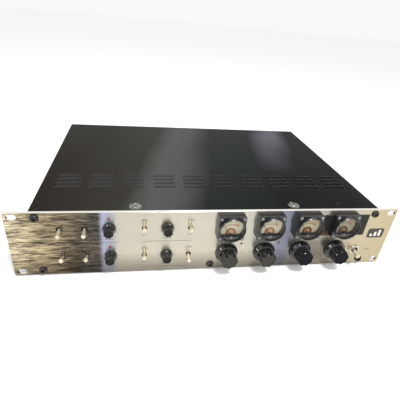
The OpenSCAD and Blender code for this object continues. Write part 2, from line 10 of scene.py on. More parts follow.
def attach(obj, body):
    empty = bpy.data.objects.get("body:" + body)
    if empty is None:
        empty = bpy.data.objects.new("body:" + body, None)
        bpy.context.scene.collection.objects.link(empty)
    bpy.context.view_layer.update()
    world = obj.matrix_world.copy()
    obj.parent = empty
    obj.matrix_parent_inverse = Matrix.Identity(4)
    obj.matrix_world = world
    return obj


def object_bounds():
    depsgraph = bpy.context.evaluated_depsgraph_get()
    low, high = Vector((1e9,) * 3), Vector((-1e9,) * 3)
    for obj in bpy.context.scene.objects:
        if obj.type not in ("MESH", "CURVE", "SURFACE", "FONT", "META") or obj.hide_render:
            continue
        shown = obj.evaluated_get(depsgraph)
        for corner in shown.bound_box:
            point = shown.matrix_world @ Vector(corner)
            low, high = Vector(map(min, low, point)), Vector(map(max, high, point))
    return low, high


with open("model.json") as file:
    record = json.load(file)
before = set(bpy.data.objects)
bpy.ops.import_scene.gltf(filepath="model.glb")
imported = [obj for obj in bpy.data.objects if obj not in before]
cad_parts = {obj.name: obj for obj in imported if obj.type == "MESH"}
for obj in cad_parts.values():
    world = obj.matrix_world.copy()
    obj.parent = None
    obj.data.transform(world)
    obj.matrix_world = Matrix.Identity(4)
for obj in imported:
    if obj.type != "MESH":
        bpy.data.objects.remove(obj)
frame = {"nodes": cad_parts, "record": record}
cad_low, cad_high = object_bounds()
nodes = frame["nodes"]
random.seed(7)

# ---------------------------------------------------------------- layout, in millimetres in the CAD frame
FRONT = -3.0
PRINT_Y = FRONT - 0.03
PANEL_W, PANEL_H = 482.6, 88.1
ROW_UP, ROW_LOW = 21.0, -19.0
METER_X = [15.0, 65.6, 116.2, 166.8]
METER_Z = 23.0
NEEDLE_DROP = 9.5
DIAL_PRINT_Y = FRONT - 4.03
TRIMS = [(-130.0, ROW_UP), (-130.0, ROW_LOW), (-62.3, ROW_UP), (-62.3, ROW_LOW)]
TOGGLES = [(-185.0, ROW_UP), (-157.5, ROW_UP), (-185.0, ROW_LOW), (-157.5, ROW_LOW),
           (-89.5, ROW_UP), (-89.5, ROW_LOW), (-34.5, ROW_UP), (-34.5, ROW_LOW)]
LEVEL_TURN = [-45, -60, -20, 35]
TRIM_TURN = [-15, -70, 20, 0]
LEVEL_FACE_Y, LEVEL_FACE_R = FRONT - 20.1, 10.2
TRIM_FACE_Y, TRIM_FACE_R = FRONT - 11.1, 5.2
SCALE_TURNS = [-150 + 30 * i for i in range(11)]
DISC_Z = METER_Z - 7.7
MASK_TOP = METER_Z - 10.7
COVER_SCREWS = [(-100.0, 13.0), (100.0, 13.0)]
TOROID = (145.0, 205.0)
BADGE_AT, BADGE_SIZE, BADGE_CORNER = (220.5, 6.5), (24.0, 15.0), 3.0

# the camera, in metres
CAMERA_AT = (-0.09738, -0.34092, 0.25601)
CAMERA_FORWARD = (0.17854, 0.85045, -0.49484)
CAMERA_UP = (0.00363, 0.50235, 0.86466)
CAMERA_LENS, SENSOR = 30.947, 36.0


# ---------------------------------------------------------------- node helpers
class Shader:
    """A material's node tree with short calls for the nodes used here. Coordinates are the part's own, in metres."""

    def __init__(self, name):
        self.material = bpy.data.materials.new(name)
        self.material.use_nodes = True
        self.tree = self.material.node_tree
        self.tree.nodes.clear()
        self.out = self.node("ShaderNodeOutputMaterial")
        self.bsdf = self.node("ShaderNodeBsdfPrincipled")
        self.link(self.bsdf.outputs[0], self.out.inputs[0])
        self.coords = self.node("ShaderNodeTexCoord").outputs["Object"]
        self._xyz = None

    def node(self, kind, **values):
        made = self.tree.nodes.new(kind)
        for key, value in values.items():
            setattr(made, key, value)
        return made

    def link(self, a, b):
        self.tree.links.new(a, b)

    def put(self, socket, value):
        if hasattr(value, "is_output"):
            self.link(value, socket)
        elif value is not None:
            socket.default_value = value

    def set(self, **values):
        names = {"color": "Base Color", "rough": "Roughness", "metal": "Metallic", "spec": "Specular IOR Level",
                 "coat": "Coat Weight", "emit": "Emission Color", "emit_power": "Emission Strength",
                 "normal": "Normal", "aniso": "Anisotropic"}
        for key, value in values.items():
            self.put(self.bsdf.inputs[names[key]], value)

    def xyz(self):
        if self._xyz is None:
            self._xyz = self.node("ShaderNodeSeparateXYZ")
            self.link(self.coords, self._xyz.inputs[0])
        return self._xyz.outputs

    def math(self, operation, a, b=None):
        made = self.node("ShaderNodeMath", operation=operation)
        for socket, value in zip(made.inputs, (a, b)):
            self.put(socket, value)
        return made.outputs[0]

    def times(self, first, *others):
        """The product of two or more values."""
        for other in others:
            first = self.math("MULTIPLY", first, other)
        return first

    def length(self, a, b):
        """The length of the vector (a, b)."""
        return self.math("SQRT", self.math("ADD", self.times(a, a), self.times(b, b)))

    def facing_up(self):
        """The z part of the surface's normal."""
        split = self.node("ShaderNodeSeparateXYZ")
        self.link(self.node("ShaderNodeNewGeometry").outputs["Normal"], split.inputs[0])
        return split.outputs[2]

    def noise(self, scale, detail=4.0, rough=0.6, stretch=(1, 1, 1), distortion=0.0, seed=(0, 0, 0)):
        mapping = self.node("ShaderNodeMapping")
        self.link(self.coords, mapping.inputs["Vector"])
        mapping.inputs["Scale"].default_value = stretch
        mapping.inputs["Location"].default_value = seed
        made = self.node("ShaderNodeTexNoise")
        self.link(mapping.outputs[0], made.inputs["Vector"])
        made.inputs["Scale"].default_value = scale
        made.inputs["Detail"].default_value = detail
        made.inputs["Roughness"].default_value = rough
        made.inputs["Distortion"].default_value = distortion
        return made.outputs["Fac"]

    def ramp(self, value, stops):
        made = self.node("ShaderNodeValToRGB")
        points = made.color_ramp.elements
        while len(points) < len(stops):
            points.new(0.5)
        for point, (place, color) in zip(points, stops):
            point.position = place
            point.color = tuple(color) + (1,) if len(color) == 3 else color
        self.put(made.inputs[0], value)
        return made.outputs[0]

    def grey(self, value, low, high, out_low=0.0, out_high=1.0):
        """A clamped straight change from out_low to out_high as value goes from low to high."""
        made = self.node("ShaderNodeMapRange", clamp=True)
        for socket, number in zip(made.inputs, (value, low, high, out_low, out_high)):
            self.put(socket, number)
        return made.outputs[0]

    def window(self, value, rise, fall):
        """One between two soft edges, each a pair (start, end), and zero outside them."""
        return self.times(self.grey(value, *rise), self.grey(value, *fall, 1.0, 0.0))

    def mix(self, share, a, b, blend="MIX"):
        made = self.node("ShaderNodeMix", data_type="RGBA", blend_type=blend)
        self.put(made.inputs[0], share)
        self.put(made.inputs[6], tuple(a) + (1,) if isinstance(a, (tuple, list)) and len(a) == 3 else a)
        self.put(made.inputs[7], tuple(b) + (1,) if isinstance(b, (tuple, list)) and len(b) == 3 else b)
        return made.outputs[2]

    def bump(self, height, strength=0.3, distance=0.0002, normal=None):
        made = self.node("ShaderNodeBump")
        made.inputs["Strength"].default_value = strength
        made.inputs["Distance"].default_value = distance
        self.put(made.inputs["Height"], height)
        if normal is not None:
            self.put(made.inputs["Normal"], normal)
        return made.outputs[0]


def srgb(r, g, b):
    """A linear colour from 8-bit display values."""
    def one(v):
        v /= 255.0
        return v / 12.92 if v <= 0.04045 else ((v + 0.055) / 1.055) ** 2.4
    return (one(r), one(g), one(b))


def plain(name, color, rough, metal=0.0, grain=900.0, spread=0.25, bump=0.15, spec=0.5, stretch=(1, 1, 1)):
    """A finish with fine grain in its colour, roughness and surface, and a slower change of tone over it."""
    s = Shader(name)
    fine = s.noise(grain, 5.0, 0.65, stretch)
    slow = s.noise(38.0, 3.0, 0.5)
    both = s.math("ADD", s.times(fine, 0.6), s.times(slow, 0.4))
    dark = [c * (1 - spread) for c in color]
    light = [min(1.0, c * (1 + spread) + 0.004) for c in color]
    s.set(color=s.ramp(both, [(0.3, dark), (0.7, light)]), metal=metal, spec=spec,
          rough=s.grey(both, 0.25, 0.75, max(0.02, rough * 0.8), min(1.0, rough * 1.25)),
          normal=s.bump(fine, bump, 0.00005))
    return s.material


# ---------------------------------------------------------------- finishes
def brushed_panel():
    """Champagne aluminium brushed from side to side, streaky at its left end, with painted reflections in bands along
    its length and painted reflection shade towards its lower edge.
    """
    s = Shader("brushed_panel")
    x, y, z = s.xyz()
    hair = s.noise(1.0, 6.0, 0.75, (18, 1, 1700))
    streak = s.noise(1.0, 6.0, 0.8, (60, 1, 760), seed=(3, 0, 5))
    wide = s.noise(1.0, 4.0, 0.65, (26, 1, 190), seed=(7, 0, 1))
    blotch = s.noise(1.0, 4.0, 0.6, (22, 1, 60), 0.6, seed=(9, 0, 2))
    # shares of the way across the panel from its left end, and up it from its lower edge
    across = s.math("ADD", s.times(x, 1000 / PANEL_W), 0.5)
    height = s.math("ADD", s.times(z, 1000 / PANEL_H), 0.5)
    wander = s.math("ADD", across, s.times(s.math("SUBTRACT", blotch, 0.5), 0.012))
    # painted reflections of the room in the tone along the panel: bright then dark towards the left end, two bluish
    # bands, and warmer at the right end
    tone = s.ramp(wander, [
        (0.000, srgb(250, 238, 212)), (0.055, srgb(218, 203, 174)), (0.110, srgb(172, 157, 134)),
        (0.155, srgb(122, 115, 104)), (0.205, srgb(108, 105, 100)), (0.216, srgb(190, 194, 224)),
        (0.232, srgb(188, 188, 200)), (0.250, srgb(218, 212, 197)), (0.400, srgb(222, 216, 200)),
        (0.560, srgb(222, 217, 201)), (0.650, srgb(204, 200, 192)), (0.666, srgb(150, 152, 168)),
        (0.690, srgb(140, 143, 164)), (0.704, srgb(148, 149, 156)), (0.714, srgb(206, 201, 190)),
        (0.860, srgb(214, 206, 188)), (0.920, srgb(220, 206, 174)), (1.000, srgb(220, 202, 162))])
    front = s.math("LESS_THAN", y, -0.0005)
    # the left end of the front, where strong light and dark streaks run along the brushing and give a little relief
    streaky_end = s.times(front, s.grey(across, 0.205, 0.214, 1.0, 0.0))
    tone = s.mix(front, srgb(214, 208, 194), tone)
    both = s.math("ADD", s.times(streak, 0.62), s.times(wide, 0.38))
    bands = s.ramp(both, [(0.40, (0.06, 0.055, 0.05)), (0.46, (0.26, 0.25, 0.23)), (0.50, (0.66, 0.63, 0.58)),
                          (0.545, (1.1, 1.03, 0.92)), (0.62, (1.9, 1.78, 1.56))])
    strong = s.mix(streaky_end, (1, 1, 1), bands)
    fine = s.ramp(hair, [(0.3, (0.90, 0.90, 0.90)), (0.7, (1.06, 1.06, 1.06))])
    # painted reflection shade: the panel darkens towards its lower edge, evened out to a flat factor at the right end
    painted_low_reflection = s.ramp(height, [
        (0.00, (0.30, 0.29, 0.27)), (0.10, (0.36, 0.35, 0.33)), (0.34, (0.66, 0.65, 0.63)),
        (0.55, (0.60, 0.60, 0.59)), (0.75, (0.60, 0.60, 0.59)), (1.00, (0.56, 0.56, 0.56))])
    painted_low_reflection = s.mix(s.grey(across, 0.80, 0.94), painted_low_reflection, (0.59, 0.59, 0.59))
    color = s.mix(1.0, s.mix(1.0, tone, strong, "MULTIPLY"), fine, "MULTIPLY")
    color = s.mix(1.0, color, painted_low_reflection, "MULTIPLY")
    # painted shade: darker reflections below the third meter and round the third and fourth knobs
    painted_shade = s.times(s.window(x, (0.099, 0.103), (0.156, 0.186)), s.grey(z, -0.006, 0.002, 1.0, 0.3),
                   s.grey(z, -0.040, -0.026))
    color = s.mix(s.times(painted_shade, front), color, (0.46, 0.46, 0.46), "MULTIPLY")
    # dark upright reflections on the right of the third and fourth meters
    tall = s.window(z, (0.0034, 0.0046), (0.0360, 0.0372))
    murk = s.math("MAXIMUM", s.window(x, (0.1350, 0.1390), (0.1517, 0.1529)),
                  s.window(x, (0.1818, 0.1858), (0.2016, 0.2028)))
    murk = s.times(front, murk, tall)
    warm = s.times(s.grey(z, 0.004, 0.013, 0.8, 0.0), s.grey(x, 0.149, 0.153, 1.0, 0.0))
    shade = s.mix(s.times(warm, blotch), (0.012, 0.011, 0.010), (0.16, 0.075, 0.03))
    color = s.mix(s.times(murk, 0.98), color, shade)
    # the top edge, which catches the light
    color = s.mix(s.grey(s.facing_up(), 0.5, 0.7), color, (0.86, 0.84, 0.78))
    # highlights stretch upwards, across the brushing
    upright = s.node("ShaderNodeCombineXYZ")
    upright.inputs[2].default_value = 1.0
    s.link(upright.outputs[0], s.bsdf.inputs["Tangent"])
    s.set(color=color, metal=s.grey(murk, 0.0, 1.0, 0.92, 0.0), spec=s.grey(murk, 0.0, 1.0, 0.5, 0.12),
          rough=s.grey(hair, 0.3, 0.7, 0.20, 0.27), aniso=0.85,
          normal=s.bump(s.times(both, streaky_end), 0.2, 0.0001, s.bump(hair, 0.14, 0.00006)))
    return s.material


def cover_paint():
    """Smooth black paint with painted reflections in soft bands and a painted grey glare, dust, bare metal at two
    screws and pale cut walls in the slots.
    """
    s = Shader("cover_paint")
    x, y, z = s.xyz()
    fine = s.noise(1300.0, 4.0, 0.6)
    slow = s.noise(9.0, 3.0, 0.55, (1, 0.4, 1), 0.4)
    # share of the way across the cover, along lines that lean to the right towards the rear
    across = s.math("ADD", s.times(x, 2.3), 0.5)
    lean = s.math("ADD", s.math("SUBTRACT", across, s.times(y, 0.55)),
                  s.times(s.math("SUBTRACT", slow, 0.5), 0.14))
    # painted reflections of the room: darker and lighter bands across the paint, leaning towards the rear
    tone = s.ramp(lean, [
        (0.00, (0.011, 0.009, 0.006)), (0.12, (0.018, 0.016, 0.012)), (0.22, (0.022, 0.020, 0.016)),
        (0.29, (0.058, 0.060, 0.055)), (0.36, (0.048, 0.051, 0.050)), (0.46, (0.009, 0.012, 0.012)),
        (0.58, (0.006, 0.009, 0.009)), (0.70, (0.002, 0.003, 0.0035)), (0.95, (0.002, 0.0025, 0.003)),
        (1.00, (0.006, 0.006, 0.007))])
    glare = s.times(s.grey(s.math("ABSOLUTE", s.math("SUBTRACT", lean, 0.70)), 0.015, 0.085, 1.0, 0.0),
                    s.grey(y, 0.10, 0.27, 0.0, 0.85))
    tone = s.mix(glare, tone, (0.085, 0.090, 0.105))
    speck = s.node("ShaderNodeTexVoronoi", feature="F1")
    s.link(s.coords, speck.inputs["Vector"])
    speck.inputs["Scale"].default_value = 46.0
    dust = s.grey(speck.outputs["Distance"], 0.02, 0.035, 1.0, 0.0)
    patch = s.grey(s.noise(11.0, 2.0, 0.5, seed=(4, 1, 0)), 0.53, 0.60)
    color = s.mix(s.times(dust, patch, 0.8), tone, (0.42, 0.42, 0.41))
    # bare metal rubbed through round the two formed screw seats
    near = s.math("MINIMUM", *[s.length(s.math("SUBTRACT", x, screw_x / 1000), s.math("SUBTRACT", y, screw_y / 1000))
                               for screw_x, screw_y in COVER_SCREWS])
    scuff = s.noise(420.0, 5.0, 0.7, seed=(2, 2, 2))
    bare = s.times(s.grey(near, 0.0052, 0.0082, 1.0, 0.0), s.grey(scuff, 0.44, 0.56), s.grey(z, 0.0385, 0.0395))
    color = s.mix(bare, color, (0.46, 0.45, 0.43))
    # the punched walls of the cooling slots, paler than the paint
    wall = s.times(s.math("LESS_THAN", s.math("ABSOLUTE", s.facing_up()), 0.5),
                   s.math("LESS_THAN", s.math("ABSOLUTE", x), 0.211),
                   s.grey(y, 0.040, 0.045), s.math("LESS_THAN", y, 0.12))
    color = s.mix(wall, color, (0.10, 0.10, 0.098))
    s.set(color=color, metal=s.times(bare, 0.9), spec=0.03,
          rough=s.grey(fine, 0.3, 0.7, 0.30, 0.42), normal=s.bump(fine, 0.18, 0.00006))
    return s.material


def knob_plastic(name, centre_x, centre_z, face_y, face_r, face_tone, face_spec):
    """Glossy black with a satin inlay on the knob's flat face."""
    s = Shader(name)
    x, y, z = s.xyz()
    r = s.length(s.math("SUBTRACT", x, centre_x / 1000), s.math("SUBTRACT", z, centre_z / 1000))
    face = s.times(s.math("LESS_THAN", y, face_y / 1000), s.math("LESS_THAN", r, face_r / 1000))
    rings = s.node("ShaderNodeTexWave", wave_type="RINGS", rings_direction="SPHERICAL")
    shift = s.node("ShaderNodeVectorMath", operation="SUBTRACT")
    s.link(s.coords, shift.inputs[0])
    shift.inputs[1].default_value = (centre_x / 1000, face_y / 1000, centre_z / 1000)
    s.link(shift.outputs[0], rings.inputs["Vector"])
    rings.inputs["Scale"].default_value = 900.0
    rings.inputs["Distortion"].default_value = 0.6
    fine = s.noise(1500.0, 4.0, 0.6)
    smear = s.noise(160.0, 4.0, 0.6)
    black = s.ramp(smear, [(0.3, (0.006, 0.006, 0.007)), (0.7, (0.014, 0.014, 0.015))])
    grey = s.ramp(rings.outputs["Fac"], [(0.0, face_tone), (1.0, [c * 1.7 for c in face_tone])])
    gloss = s.grey(smear, 0.3, 0.7, 0.12, 0.24)
    s.set(color=s.mix(face, black, grey), spec=s.grey(face, 0.0, 1.0, 0.5, face_spec),
          coat=s.grey(face, 0.0, 1.0, 0.35, 0.0), rough=s.math("ADD", gloss, s.times(face, 0.22)),
          normal=s.bump(fine, 0.05, 0.00003))
    return s.material


def meter_dial():
    """Cream card with a brown half disc at its foot. The third and fourth dials have painted shade, the fourth the
    most.
    """
    s = Shader("dial_card")
    x, _, z = s.xyz()
    pitch = (METER_X[1] - METER_X[0]) / 1000
    local = s.math("SUBTRACT", s.math("FLOORED_MODULO", s.math("SUBTRACT", x, METER_X[0] / 1000 - pitch / 2), pitch),
                   pitch / 2)
    # distance from the half disc's centre, where 1 is 25 mm
    reach = s.times(s.length(local, s.math("SUBTRACT", z, DISC_Z / 1000)), 40.0)
    fibre = s.noise(1100.0, 5.0, 0.7)
    pale = s.ramp(reach, [
        (0.00, srgb(206, 172, 134)), (0.13, srgb(184, 148, 114)), (0.20, srgb(132, 92, 64)),
        (0.262, srgb(112, 80, 60)), (0.275, srgb(202, 195, 171)), (0.60, srgb(199, 195, 174)),
        (1.00, srgb(174, 171, 154))])
    # painted shade: a darker copy of the dial's colours, used for the third and fourth dials
    painted_shade = s.ramp(reach, [
        (0.00, srgb(160, 112, 58)), (0.13, srgb(170, 110, 50)), (0.18, srgb(66, 40, 22)),
        (0.262, srgb(50, 34, 22)), (0.275, srgb(182, 175, 145)), (0.60, srgb(180, 174, 145)),
        (1.00, srgb(134, 128, 104))])
    tone = s.mix(s.grey(x, 0.0905, 0.0913), pale, painted_shade)
    # more painted shade on the fourth dial
    tone = s.mix(s.grey(x, 0.1411, 0.1419), tone, (0.74, 0.74, 0.72), "MULTIPLY")
    color = s.mix(0.25, tone, s.ramp(fibre, [(0.3, (0.35, 0.32, 0.25)), (0.7, (0.75, 0.71, 0.6))]), "MULTIPLY")
    s.set(color=color, rough=0.7, normal=s.bump(fibre, 0.2, 0.00004), emit=color, emit_power=0.12)
    return s.material


def meter_mask():
    """Dull grey plastic with a black band along its straight upper edge."""
    s = Shader("mask_plastic")
    z = s.xyz()[2]
    fine = s.noise(900.0, 5.0, 0.65)
    band = s.grey(z, (MASK_TOP - 0.2) / 1000, MASK_TOP / 1000)
    grey = s.ramp(fine, [(0.3, (0.042, 0.038, 0.034)), (0.7, (0.064, 0.059, 0.052))])
    s.set(color=s.mix(band, grey, (0.003, 0.003, 0.003)), rough=s.grey(fine, 0.3, 0.7, 0.42, 0.6),
          spec=s.grey(band, 0.0, 1.0, 0.4, 0.02), normal=s.bump(fine, 0.2, 0.00005))
    return s.material


def clear(name, tint, share=0.04, rough=0.02):
    """Thin glass or acrylic: mostly see-through with a sharp reflection that grows towards its edge."""
    s = Shader(name)
    smudge = s.noise(90.0, 4.0, 0.6)
    see = s.node("ShaderNodeBsdfTransparent")
    see.inputs[0].default_value = tuple(tint) + (1,)
    gloss = s.node("ShaderNodeBsdfGlossy")
    s.put(gloss.inputs["Roughness"], s.grey(smudge, 0.3, 0.7, rough, rough + 0.04))
    edge = s.node("ShaderNodeLayerWeight")
    edge.inputs[0].default_value = 0.12
    blend = s.node("ShaderNodeMixShader")
    s.put(blend.inputs[0], s.grey(edge.outputs["Fresnel"], 0.0, 0.6, share, share * 6))
    s.link(see.outputs[0], blend.inputs[1])
    s.link(gloss.outputs[0], blend.inputs[2])
    s.tree.nodes.remove(s.bsdf)
    s.link(blend.outputs[0], s.out.inputs[0])
    return s.material


def lever_metal():
    """Plated toggle lever, dulled in patches."""
    s = Shader("lever_metal")
    fine = s.noise(1.0, 5.0, 0.7, (900, 900, 900))
    patina = s.noise(260.0, 4.0, 0.6)
    s.set(color=s.ramp(patina, [(0.3, srgb(168, 154, 128)), (0.5, srgb(198, 188, 164)), (0.75, srgb(216, 210, 192))]),
          metal=0.55, rough=s.grey(patina, 0.3, 0.7, 0.24, 0.36), normal=s.bump(fine, 0.05, 0.00003))
    return s.material


def led(name, color, power):
    """Coloured lamp body that glows faintly."""
    s = Shader(name)
    swirl = s.noise(700.0, 3.0, 0.5)
    s.set(color=s.ramp(swirl, [(0.3, [c * 0.7 for c in color]), (0.7, color)]), rough=0.15, coat=0.4,
          emit=tuple(color) + (1,), emit_power=power, normal=s.bump(swirl, 0.05, 0.00003))
    return s.material


def circuit_board():
    """Green solder mask over a pattern of tracks."""
    s = Shader("circuit_board")
    tracks = s.node("ShaderNodeTexBrick")
    s.link(s.coords, tracks.inputs["Vector"])
    tracks.inputs["Scale"].default_value = 120.0
    fine = s.noise(600.0, 4.0, 0.6)
    color = s.mix(tracks.outputs["Fac"], (0.012, 0.10, 0.045), (0.03, 0.19, 0.09))
    s.set(color=s.mix(0.3, color, s.ramp(fine, [(0.3, (0.3, 0.3, 0.3)), (0.7, (1, 1, 1))]), "MULTIPLY"),
          rough=0.35, normal=s.bump(tracks.outputs["Fac"], 0.2, 0.00005))
    return s.material


def winding():
    """Amber tape lapped round the toroid."""
    s = Shader("winding_tape")
    x, y, _ = s.xyz()
    turn = s.math("ARCTAN2", s.math("SUBTRACT", y, TOROID[1] / 1000), s.math("SUBTRACT", x, TOROID[0] / 1000))
    lap = s.math("FRACT", s.times(turn, 14.0))
    fine = s.noise(500.0, 4.0, 0.6)
    s.set(color=s.mix(s.grey(lap, 0.0, 0.2), (0.20, 0.11, 0.03), (0.62, 0.42, 0.12)), coat=0.4,
          rough=s.grey(fine, 0.3, 0.7, 0.25, 0.4), normal=s.bump(lap, 0.5, 0.0003))
    return s.material


# plain() takes its name, colour, roughness, metal, grain, spread, bump and specular in that order
FINISH = {
    "brushed_panel": brushed_panel(),
    "black_case": cover_paint(),
    "tray_steel": plain("tray_paint", (0.014, 0.014, 0.015), 0.42, 0.0, 1300.0, 0.25, 0.2, 0.4),
    "black_screw": plain("black_oxide", (0.008, 0.007, 0.007), 0.28, 0.2, 700.0, 0.5, 0.2),
    "worn_screw": plain("worn_zinc", (0.34, 0.33, 0.31), 0.34, 0.9, 420.0, 0.6, 0.3),
    "foot_rubber": plain("foot_rubber", (0.016, 0.016, 0.016), 0.8, 0.0, 1200.0, 0.3, 0.3, 0.3),
    "steel_shaft": plain("turned_steel", (0.55, 0.55, 0.56), 0.3, 1.0, 900.0, 0.15, 0.15),
    "pot_case": plain("pot_case", (0.30, 0.31, 0.30), 0.4, 0.8, 500.0, 0.2, 0.2),
    "nickel_nut": plain("nickel_plate", (0.70, 0.67, 0.60), 0.2, 1.0, 500.0, 0.12, 0.1),
    "lever_metal": lever_metal(),
    "switch_case": plain("switch_case", (0.03, 0.05, 0.10), 0.5),
    "power_case": plain("power_case", (0.42, 0.42, 0.41), 0.28, 0.9, 500.0, 0.2, 0.15),
    "meter_bezel": plain("bezel_plastic", (0.011, 0.011, 0.012), 0.24, 0.0, 1200.0, 0.3, 0.12, 0.55),
    "meter_glass": clear("meter_glass", (0.99, 0.98, 0.97), 0.012),
    "dial_paper": meter_dial(),
    "meter_mask": meter_mask(),
    "meter_can": plain("meter_can", (0.10, 0.10, 0.11), 0.5, 0.4, 700.0, 0.2, 0.2),
    "meter_screw": plain("meter_screw", (0.24, 0.24, 0.24), 0.3, 0.9, 600.0, 0.5, 0.2),
    "needle_black": plain("needle_black", (0.012, 0.011, 0.011), 0.45, 0.2, 900.0, 0.2, 0.05),
    "led_red": led("led_red", (0.16, 0.003, 0.006), 0.14),
    "board_green": circuit_board(),
    "standoff_brass": plain("brass", (0.72, 0.55, 0.22), 0.25, 1.0, 700.0, 0.12, 0.1),
    "ribbon_grey": plain("ribbon_pvc", (0.35, 0.36, 0.38), 0.5, 0.0, 1.0, 0.25, 0.3, stretch=(1600, 60, 60)),
    "capacitor_sleeve": plain("capacitor_sleeve", (0.015, 0.03, 0.10), 0.3, 0.0, 700.0, 0.2, 0.1),
    "socket_ceramic": plain("socket_ceramic", (0.78, 0.75, 0.68), 0.55, 0.0, 900.0, 0.08, 0.25),
    "tube_glass": clear("tube_glass", (0.96, 0.98, 0.97), 0.06),
    "tube_metal": plain("tube_metal", (0.20, 0.20, 0.21), 0.4, 0.9, 700.0, 0.25, 0.2),
    "winding": winding(),
    "clamp_steel": plain("clamp_zinc", (0.52, 0.52, 0.50), 0.35, 1.0, 500.0, 0.2, 0.2),
    "wire_sleeve": plain("wire_sleeve", (0.16, 0.05, 0.02), 0.4, 0.0, 700.0, 0.15, 0.1),
    "inlet_plastic": plain("inlet_plastic", (0.018, 0.018, 0.018), 0.45, 0.0, 1100.0, 0.2, 0.25),
    "connector_metal": plain("black_chromate", (0.045, 0.045, 0.05), 0.35, 0.7, 900.0, 0.25, 0.2),
    "latch_metal": plain("latch_steel", (0.5, 0.5, 0.5), 0.3, 1.0, 900.0, 0.15, 0.15),
    "jack_plastic": plain("jack_plastic", (0.020, 0.020, 0.022), 0.45, 0.0, 1100.0, 0.2, 0.25),
}
slot_of = {row["node"]: row["material_slot"] for row in frame["record"]["subparts"]}
for name, obj in nodes.items():
    made = FINISH.get(slot_of[name])
    if name.startswith("level_knob_"):
        k = int(name[-1]) - 1
        # the third and fourth knobs get a darker, less shiny face: painted shade
        made = knob_plastic("level_knob_finish_%d" % (k + 1), METER_X[k], ROW_LOW, LEVEL_FACE_Y, LEVEL_FACE_R,
                            (0.020, 0.018, 0.015) if k < 2 else (0.004, 0.004, 0.006), 0.22 if k < 2 else 0.06)
    elif name.startswith("trim_knob_"):
        k = int(name[-1]) - 1
        made = knob_plastic("trim_knob_finish_%d" % (k + 1), *TRIMS[k], TRIM_FACE_Y, TRIM_FACE_R,
                            (0.008, 0.008, 0.007), 0.12)
    obj.data.materials.clear()
    obj.data.materials.append(made)


# ---------------------------------------------------------------- printed artwork
def add(name, data):
    """A new object in the scene that holds data."""
    made = bpy.data.objects.new(name, data)
    bpy.context.scene.collection.objects.link(made)
    return made


class Sheet:
    """Flat artwork built up from strips, discs and arcs on a plane that faces the viewer."""

    def __init__(self):
        self.points, self.faces, self.slots = [], [], []
        self.slot = 0

    def polygon(self, points):
        start = len(self.points)
        self.points += points
        self.faces.append(list(range(start, start + len(points))))
        self.slots.append(self.slot)

    def bar(self, x, z, width, height, turn=0.0):
        c, n = math.cos(math.radians(turn)), math.sin(math.radians(turn))
        corners = [(width * i / 2, height * j / 2) for i, j in ((-1, -1), (1, -1), (1, 1), (-1, 1))]
        self.polygon([(x + a * c + b * n, z - a * n + b * c) for a, b in corners])

    def spoke(self, x, z, r0, r1, width, turn):
        """A strip that points away from (x, z), turn degrees clockwise from straight up."""
        a = math.radians(turn)
        mid = (r0 + r1) / 2
        self.bar(x + mid * math.sin(a), z + mid * math.cos(a), width, r1 - r0, turn)

    def arc(self, x, z, r, width, first, last, steps):
        for i in range(steps):
            a = math.radians(first + (last - first) * i / steps)
            b = math.radians(first + (last - first) * (i + 1) / steps)
            ring = [(r - width / 2, a), (r + width / 2, a), (r + width / 2, b), (r - width / 2, b)]
            self.polygon([(x + q * math.sin(t), z + q * math.cos(t)) for q, t in reversed(ring)])

    def number(self, value, x, z, r, turn, size):
        """A number centred r from (x, z), turn degrees clockwise from straight up."""
        a = math.radians(turn)
        curve = bpy.data.curves.new("number", "FONT")
        curve.body = str(value)
        curve.size = size
        curve.align_x, curve.align_y = "CENTER", "CENTER"
        curve.resolution_u = 3
        holder = add("number", curve)
        bpy.context.view_layer.update()
        shape = holder.evaluated_get(bpy.context.evaluated_depsgraph_get()).to_mesh()
        start = len(self.points)
        self.points += [(x + r * math.sin(a) + v.co.x, z + r * math.cos(a) + v.co.y) for v in shape.vertices]
        for face in shape.polygons:
            self.faces.append([start + i for i in face.vertices])
            self.slots.append(self.slot)
        holder.to_mesh_clear()
        bpy.data.objects.remove(holder)
        bpy.data.curves.remove(curve)

    def build(self, name, y, materials):
        mesh = bpy.data.meshes.new(name)
        mesh.from_pydata([(px / 1000, y / 1000, pz / 1000) for px, pz in self.points], [], self.faces)
        for m in materials:
            mesh.materials.append(m)
        for face, index in zip(mesh.polygons, self.slots):
            face.material_index = index
        mesh.update()
        made = add(name, mesh)
        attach(made, "unit")
        return made


def ink(name, color, rough=0.55):
    """Printing ink, paler where it has worn thin."""
    s = Shader(name)
    wear = s.noise(900.0, 4.0, 0.7)
    light = [min(1.0, c * 1.6 + 0.03) for c in color]
    s.set(color=s.ramp(wear, [(0.45, color), (0.8, light)]), rough=rough, normal=s.bump(wear, 0.1, 0.00002))
    return s.material


INK = ink("panel_ink", (0.018, 0.017, 0.016))
SOFT_INK = ink("panel_ink_fine", (0.09, 0.085, 0.078))
DIAL_INK = ink("dial_ink", (0.035, 0.026, 0.02), 0.7)
DIAL_RED = ink("dial_red", (0.42, 0.08, 0.06), 0.7)
WHITE_INK = ink("pointer_ink", (0.62, 0.62, 0.60), 0.5)

